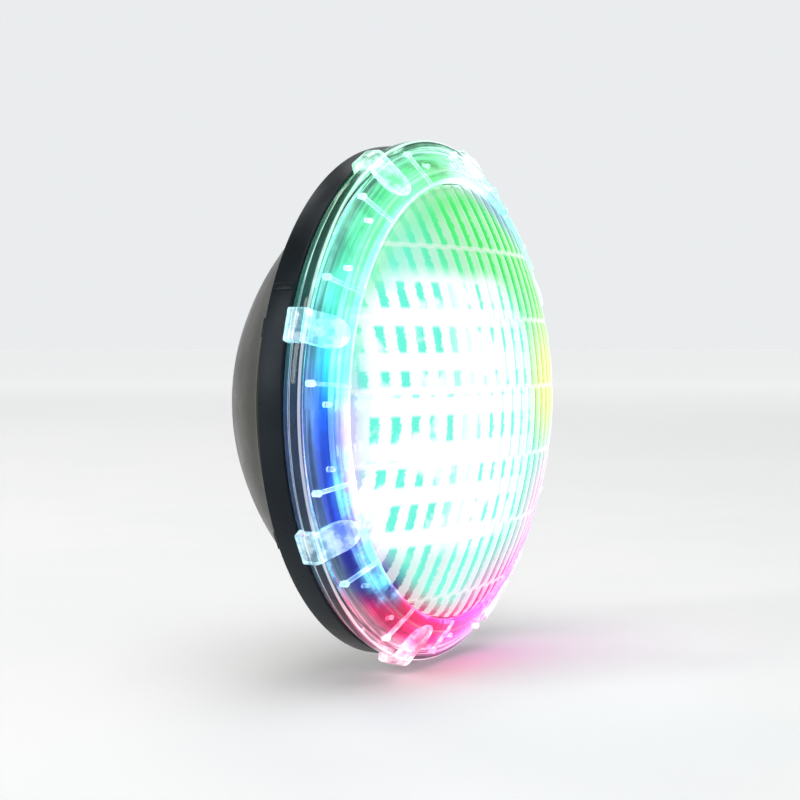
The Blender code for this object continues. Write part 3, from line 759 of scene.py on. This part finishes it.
def clip_block(name, angle, clear):
    """The rounded block that stands out of the rim at each clip."""
    outline = [(0.0866, FOOT_BACK - 0.0002), (0.0902, FOOT_BACK - 0.0002), (0.0910, FOOT_BACK - 0.0010),
               (0.0910, -0.0148), (0.0900, -0.0162), (0.0880, -0.0172), (0.0866, -0.0160)]
    radial_block(name, outline, 0.0104, angle, 0.0005, clear)


def clip_pad(name, angle, clear):
    """The half-round pad that runs from each clip over the cone towards the lens."""
    half, straight_end, round_start, steps = 0.0052, 0.0884, 0.0822, 14
    cone_radius, cone_y, cone_slope, sunk, proud = 0.0866, -0.0172, 0.70, 0.0016, 0.0011
    turns = [pi * step / steps for step in range(steps + 1)]
    arc = [(round_start - half * sin(turn), half * cos(turn)) for turn in turns]
    shape = bmesh.new()
    low, high = [], []
    for radius, across in [(straight_end, half), *arc, (straight_end, -half)]:
        surface = cone_y - (cone_radius - radius) * cone_slope
        low.append(shape.verts.new((radius, surface + sunk, across)))
        high.append(shape.verts.new((radius, surface - proud, across)))
    join_loops(shape, low, high)
    rim = [edge for edge in shape.edges if edge.verts[0] in high and edge.verts[1] in high]
    bmesh.ops.bevel(shape, geom=rim, offset=0.0005, segments=3, profile=0.5, affect="EDGES")
    add_turned(name, shape, angle, clear)


def bezel_rib(name, angle, clear):
    """A thin radial rib that follows the cone from the rim to the lens."""
    outline = [(0.0860, -0.0168), (0.0860, -0.0184), (0.0850, -0.0191), (0.0790, -0.0234),
               (0.0770, -0.0247), (0.0750, -0.0257), (0.0746, -0.0247), (0.0766, -0.0233)]
    radial_block(name, outline, 0.0013, angle, 0.00028, clear)


def round_boss(name, angle, radius, base, size, clear):
    """A small round-topped bump on the cone."""
    centre = (radius * cos(angle), radius * sin(angle))
    foot, top = base + 0.0010, base - 0.0020
    shoulder = [(size, top + 0.0006), (size * 0.78, top + 0.0002), (size * 0.33, top)]
    outline = [(0, foot), (size, foot), *shoulder, (0, top)]
    turned(name, outline, clear, 16, centre)


# ---- lens ----
LENS_RISE = LENS_SHOULDER - LENS_APEX
DOME_RADIUS = (LENS_RADIUS**2 + LENS_RISE**2) / (2 * LENS_RISE)
DOME_CENTRE = LENS_APEX + DOME_RADIUS


def outer_skin(x, z):
    """A point of the outer face: the flutes flatten out at each cross line and at the lens's edge."""
    line_fade, edge_fade, edge_flat = 0.0010, 0.0012, 0.0006
    distance = hypot(x, z)
    y = DOME_CENTRE - sqrt(DOME_RADIUS**2 - distance**2)
    row = (z - FLUTE_ROW_START) / FLUTE_ROW
    shift = 0.5 * (row // 1 % 2)
    across = (x / FLUTE_PITCH + shift + FLUTE_OFFSET) % 1.0 - 0.5
    to_line = abs(row - round(row)) * FLUTE_ROW
    to_edge = max(0.0, LENS_RADIUS - edge_flat - distance)
    fade = min(1.0, to_line / line_fade) * min(1.0, to_edge / edge_fade)
    return x, y + FLUTE_DEPTH * (1 - fade * (1 - 4 * across * across)), z


def inner_skin(x, z):
    """The point of the smooth inner face behind a point of the outer one."""
    share = (LENS_RADIUS - LENS_WALL) / LENS_RADIUS
    x, z = x * share, z * share
    return x, DOME_CENTRE - sqrt((DOME_RADIUS - LENS_WALL) ** 2 - x * x - z * z), z


def lens_grid(columns, rows):
    """Upright lines of points across the round lens, with a single point at each side."""
    grid = [[(-LENS_RADIUS, 0.0)]]
    for column in range(1, columns):
        x = LENS_RADIUS * (2 * column / columns - 1)
        tall = sqrt(LENS_RADIUS**2 - x * x)
        grid.append([(x, tall * (2 * row / rows - 1)) for row in range(rows + 1)])
    return grid + [[(LENS_RADIUS, 0.0)]]


def skin_faces(lines):
    """Faces between the neighbouring lines of a skin."""
    faces = []
    for first, second in zip(lines, lines[1:]):
        if len(first) == 1:
            faces += [(first[0], low, high) for low, high in zip(second, second[1:])]
        elif len(second) == 1:
            faces += [(low, second[0], high) for low, high in zip(first, first[1:])]
        else:
            faces += zip(first, second, second[1:], first[1:])
    return faces


def skin_border(lines):
    """The points round a skin: along the bottom, and back along the top."""
    return [line[0] for line in lines] + [line[-1] for line in reversed(lines[1:-1])]


def lens(lit, clear):
    """The domed lens: convex upright flutes outside, broken and shifted at each cross line."""
    points, outside, inside = [], [], []
    for lines, skin in ((outside, outer_skin), (inside, inner_skin)):
        for line in lens_grid(336, 136):
            lines.append(list(range(len(points), len(points) + len(line))))
            points.extend(skin(x, z) for x, z in line)
    faces = skin_faces(outside) + [face[::-1] for face in skin_faces(inside)]
    loops = [skin_border(outside)]
    directions = []
    for index in loops[0]:
        x, _, z = points[index]
        length = hypot(x, z)
        directions.append((x / length, z / length))
    flange_front = FLANGE_BACK - 0.0020
    neck = LENS_RADIUS - LENS_WALL
    edge_back = LENS_SHOULDER + FLUTE_DEPTH + 0.0004
    for radius, y in ((LENS_RADIUS, edge_back), (LENS_RADIUS, flange_front), (FLANGE_RADIUS, flange_front),
                      (FLANGE_RADIUS, FLANGE_BACK), (neck, FLANGE_BACK)):
        loops.append(list(range(len(points), len(points) + len(directions))))
        points.extend((radius * x, y, radius * z) for x, z in directions)
    loops.append(skin_border(inside))
    for first, second in zip(loops, loops[1:]):
        faces += quads_between(first, second)
    piece = add_piece("fluted_lens", points, faces, lit, sharp=50)
    piece.data.materials.append(clear)
    skin_depth, at_wall = 0.0012, LENS_RADIUS - 0.0002
    for face in piece.data.polygons:
        front = min(piece.data.vertices[index].co.y for index in face.vertices)
        spread = hypot(face.center.x, face.center.z)
        skin = DOME_CENTRE - sqrt(max(DOME_RADIUS**2 - spread**2, 0.0))
        dome = spread < at_wall and front < skin + skin_depth
        edge = spread > at_wall and front < LENS_SHOULDER + skin_depth
        face.material_index = 0 if dome or edge else 1
    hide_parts("front_lens")


# ---- what shows through the lens ----
def light_field(glow, reflector):
    """A softly dished glowing sheet just in front of the board, and the ring that carries the lens."""
    edge = -SUPPORT_SIDE - 0.0070
    front = [(0, 0.00135), (0.030, 0.00135), (0.060, 0.00150), (edge, 0.00450)]
    back = [(edge, 0.00350), (0.060, 0.00120), (0.030, 0.00110), (0, 0.00110)]
    outline = [(radius, BOARD_FRONT - height) for radius, height in front + back]
    turned("light_field_sheet", outline, glow, 96)
    ring = turned("support_ring_wall", rounded([
        (0.0786, SUPPORT_BACK), (0.0808, SUPPORT_BACK), (0.0767, SUPPORT_FRONT), (0.0747, SUPPORT_FRONT),
    ], 0.0004), reflector)
    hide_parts("lens_support_ring")


# ---- terminals ----
def screw_outline(bottom, top):
    """Half section of a cheese-head screw with a visible M4 thread."""
    head_height, head_radius, pitch, root, crest = 0.0024, 0.0036, 0.0007, 0.00165, 0.0020
    head = top - head_height
    outline = [(0, bottom), (0.0012, bottom), (root, bottom + 0.0004)]
    y = bottom + 0.0005
    while y < head - pitch:
        outline += [(root, y), (crest, y + pitch * 0.35), (crest, y + pitch * 0.5), (root, y + pitch * 0.9)]
        y += pitch
    return outline + [
        (root, head), (head_radius - 0.0002, head), (head_radius, head + 0.0002), (head_radius, top - 0.0007),
        (head_radius - 0.0002, top - 0.0003), (head_radius - 0.0007, top), (0, top),
    ]


def cross_cutter(name, x, top, z):
    """The plus-shaped block that cuts the recess in a screw's head."""
    reach, arm, depth = 0.0022, 0.0004, 0.0012
    plan = [(arm, reach), (arm, arm), (reach, arm)]
    for _ in range(3):
        plan += [(v, -u) for u, v in plan[-3:]]
    shape = bmesh.new()
    loops = [[shape.verts.new((x + u, top + y, z + v)) for u, v in plan] for y in (-depth, depth)]
    join_loops(shape, *loops)
    mesh = bpy.data.meshes.new(name)
    shape.to_mesh(mesh)
    shape.free()
    return place_in_scene(name, mesh)


def cut(piece, cutter):
    """Cut the cutter out of the piece, clean the new edges and remove the cutter."""
    boolean = piece.modifiers.new("recess", "BOOLEAN")
    boolean.operation, boolean.solver, boolean.object = "DIFFERENCE", "EXACT", cutter
    baked = bpy.data.meshes.new_from_object(piece.evaluated_get(bpy.context.evaluated_depsgraph_get()))
    piece.modifiers.clear()
    shape = bmesh.new()
    shape.from_mesh(baked)
    bmesh.ops.remove_doubles(shape, verts=shape.verts, dist=1e-6)
    bmesh.ops.dissolve_degenerate(shape, dist=1e-6, edges=shape.edges)
    shape.to_mesh(baked)
    shape.free()
    piece.data = baked
    bpy.data.objects.remove(cutter, do_unlink=True)


def terminal_screw(name, steel):
    """A threaded screw with a cross recess, on its own body."""
    low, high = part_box(f"terminal_screw_{name}")
    x, z = (low[0] + high[0]) / 2, (low[2] + high[2]) / 2
    outline = screw_outline(low[1], high[1])
    screw = turned(f"screw_fine_{name}", outline, steel, 48, (x, z), f"{name}_screw")
    cut(screw, cross_cutter(f"recess_{name}", x, high[1], z))
    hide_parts(f"terminal_screw_{name}")


def washer(name, steel):
    low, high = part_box(f"clamp_washer_{name}")
    centre = ((low[0] + high[0]) / 2, (low[2] + high[2]) / 2)
    bore, radius = 0.0023, 0.0042
    ring = turned(f"washer_fine_{name}", rounded([
        (bore, low[1]), (radius, low[1]), (radius, high[1]), (bore, high[1]),
    ], 0.0003), steel, 48, centre, f"{name}_clamp")
    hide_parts(f"clamp_washer_{name}")


def terminals(steel):
    for name in ("left", "right"):
        terminal_screw(name, steel)
        washer(name, steel)


# ---- carried-over nodes ----
def finish(material, bevel, *names):
    """Give CAD nodes that still show a procedural material and, where bevel isn't 0, fine bevelled edges."""
    for name in names:
        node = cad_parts[name]
        node.data.materials.clear()
        node.data.materials.append(material)
        if bevel:
            edge = node.modifiers.new("edge", "BEVEL")
            edge.width = bevel
            edge.segments = 2
            edge.limit_method = "ANGLE"
            edge.angle_limit = radians(40)


def inner_parts(black, gloss, soft_rubber, steel):
    """The CAD nodes inside the lamp, which show through the lens or from behind."""
    brass = metal("brass_fine", (0.82, 0.60, 0.26), (0.52, 0.34, 0.14), 0.22, 0.40, (200, 200, 2400))
    aluminium = metal("aluminium_fine", (0.80, 0.81, 0.82), (0.55, 0.56, 0.58), 0.25, 0.42, (2400, 60, 60))
    copper = metal("enamelled_copper_fine", (0.62, 0.25, 0.10), (0.34, 0.12, 0.05), 0.2, 0.35, (60, 60, 3200))
    sleeve = moulded_plastic("capacitor_sleeve_fine", (0.06, 0.07, 0.15), (0.04, 0.05, 0.10), 0.2, 0.35, 0.1)
    red = moulded_plastic("red_insulation_fine", (0.62, 0.03, 0.03), (0.45, 0.02, 0.02), 0.35, 0.5, 0.1)
    dark = moulded_plastic("black_insulation_fine", (0.03, 0.03, 0.03), (0.02, 0.02, 0.02), 0.35, 0.5, 0.1)
    finish(black, 0.0002, "terminal_block", "controller_module", "bridge_rectifier")
    finish(gloss, 0.0, "resin_plug")
    finish(soft_rubber, 0.0003, "pan_seal")
    finish(aluminium, 0.0003, "heat_spreader")
    finish(brass, 0.00015, "terminal_plate_left", "terminal_plate_right")
    finish(printed_board("white_solder_mask", (0.80, 0.83, 0.83), (0.92, 0.94, 0.94)), 0.0, "led_board")
    finish(printed_board("green_solder_mask", (0.02, 0.16, 0.07), (0.06, 0.30, 0.14)), 0.0, "driver_board")
    finish(copper, 0.0003, "choke_coil")
    finish(sleeve, 0.0004, "capacitor_1", "capacitor_2")
    finish(red, 0.0, "led_lead_red")
    finish(dark, 0.0, "led_lead_black")
    finish(steel, 0.0, *(f"post_screw_{n}" for n in range(1, 6)))
    finish(steel, 0.0, *(f"{place}_screw_{n}" for place in ("column", "board") for n in range(1, 4)))
    for name, tint, strength, rows in (
        ("row_green", (90, 250, 140), 0.6, (1,)), ("row_mint", (170, 255, 225), 0.8, (2,)),
        ("row_white", (240, 255, 255), 0.9, (3, 4, 5)), ("row_blue", (190, 225, 255), 0.8, (6,)),
        ("row_red", (255, 120, 170), 0.6, (7,)),
    ):
        finish(emitter(name, linear(*tint), strength), 0.0, *(f"led_row_{row}" for row in rows))


# ---- stage ----
def stage():
    """A plain pale floor, so wide that its edge lies on the horizon."""
    clearance, sides, radii = 0.0023, 128, (0.5, 2.0, 8.0, 40.0)
    low = cad_low[2] - clearance
    turns = [tau * side / sides for side in range(sides)]
    points = [(0.0, 0.0, low)]
    points += [(radius * cos(turn), radius * sin(turn), low) for radius in radii for turn in turns]
    faces = [(0, 1 + side, 1 + (side + 1) % sides) for side in range(sides)]
    rings = [range(1 + ring * sides, 1 + (ring + 1) * sides) for ring in range(len(radii))]
    for inner, outer in zip(rings, rings[1:]):
        faces += quads_between(outer, inner)
    mesh = bpy.data.meshes.new("floor")
    mesh.from_pydata(points, [], faces)
    floor = place_in_scene("floor", mesh)
    made = Nodes("pale_floor")
    tone = made.mix(made.remap(made.noise(6, 3), 0.3, 0.7), (0.80, 0.805, 0.81), (0.84, 0.84, 0.84))
    x, y, _ = made.axes()
    spread = from_axis(made, x, y)
    mesh.materials.append(made.principled(
        Base_Color=tone, Roughness=0.75, Emission_Color=WHITE,
        Emission_Strength=made.remap(spread, 0.1, 4.2, 0.14, 0.60),
    ))


def soft_light(name, place, size, power, colour=WHITE):
    """A soft rectangle of light that points at the lamp."""
    data = bpy.data.lights.new(name, "AREA")
    data.shape = "RECTANGLE"
    data.size, data.size_y = size
    data.energy = power
    data.color = colour
    light = place_in_scene(name, data)
    light.location = place
    light.rotation_euler = (-Vector(place)).to_track_quat("-Z", "Y").to_euler()


def lights():
    warm = (1.0, 0.98, 0.93)
    soft_light("top_light", (-0.35, -0.15, 1.6), (1.6, 1.6), 18)
    soft_light("bowl_light", (-1.5, 1.0, 0.75), (0.30, 1.1), 9, warm)
    soft_light("far_light", (1.8, 0.9, 2.4), (1.3, 1.3), 12)
    soft_light("back_light", (0.5, 1.5, 1.3), (0.5, 1.0), 5, warm)


def studio_walls():
    """The room: pale up to a little above the horizon, dimmer overhead."""
    world = bpy.data.worlds.new("studio")
    world.use_nodes = True
    nodes, links = world.node_tree.nodes, world.node_tree.links
    height = nodes.new("ShaderNodeSeparateXYZ")
    links.new(nodes.new("ShaderNodeTexCoord").outputs["Generated"], height.inputs[0])
    fall = nodes.new("ShaderNodeMapRange")
    fall.interpolation_type = "SMOOTHSTEP"
    for key, value in (("From Min", 0.22), ("From Max", 0.55), ("To Min", 0.86), ("To Max", 0.16)):
        fall.inputs[key].default_value = value
    links.new(height.outputs[2], fall.inputs["Value"])
    background = nodes["Background"]
    background.inputs["Color"].default_value = (0.96, 0.98, 1.0, 1.0)
    links.new(fall.outputs["Result"], background.inputs["Strength"])
    bpy.context.scene.world = world


# ---- camera ----
CAMERA_AZIMUTH = -61.0
CAMERA_ELEVATION = 2.0
CAMERA_DISTANCE = 0.56
CAMERA_LENS = 72.0


def camera():
    """The camera stands on the lens side, well round to -X, a little above the axis."""
    azimuth, elevation = radians(CAMERA_AZIMUTH), radians(CAMERA_ELEVATION)
    level = cos(elevation)
    back = Vector((sin(azimuth) * level, -cos(azimuth) * level, sin(elevation)))
    data = bpy.data.cameras.new("camera")
    data.lens = CAMERA_LENS
    data.clip_start = 0.01
    made = place_in_scene("camera", data)
    centre = (Vector(cad_low) + Vector(cad_high)) / 2
    made.location = centre + back * CAMERA_DISTANCE
    made.rotation_euler = (-back).to_track_quat("-Z", "Y").to_euler()
    bpy.context.scene.camera = made
    bpy.context.scene.view_settings.view_transform = "Standard"


def build():
    black = moulded_plastic("black_pan_plastic", (0.012, 0.016, 0.019), (0.006, 0.008, 0.010),
                            0.26, 0.38, 0.20, 0.16, (0.70, 0.84, 1.0))
    grey = moulded_plastic("grey_bowl_plastic", (0.031, 0.030, 0.022), (0.023, 0.023, 0.017),
                           0.24, 0.36, 0.05, 0.12, (1.0, 0.97, 0.86))
    gloss = moulded_plastic("gloss_column_plastic", (0.016, 0.016, 0.017), (0.008, 0.008, 0.009),
                            0.14, 0.22, 0.05)
    white = moulded_plastic("white_ring_plastic", (0.30, 0.32, 0.33), (0.24, 0.26, 0.27), 0.4, 0.5, 0.1)
    soft_rubber = rubber()
    steel = metal("stainless_fine", (0.66, 0.66, 0.65), (0.40, 0.40, 0.41), 0.18, 0.36, (1500, 90, 1500))

    housing_pan(black)
    rear_bowl(grey)
    column(gloss, soft_rubber)
    bezel(bezel_material(), clip_material("lit_clear_clips", 0.34, 0.18),
          clip_material("lit_clear_ribs", 0.30, 0.32, 0.35))
    lens(lens_material(), clear_inside_material())
    light_field(light_field_material(), white)
    terminals(steel)
    inner_parts(black, gloss, soft_rubber, steel)
    camera()
    stage()
    lights()
    studio_walls()


build()
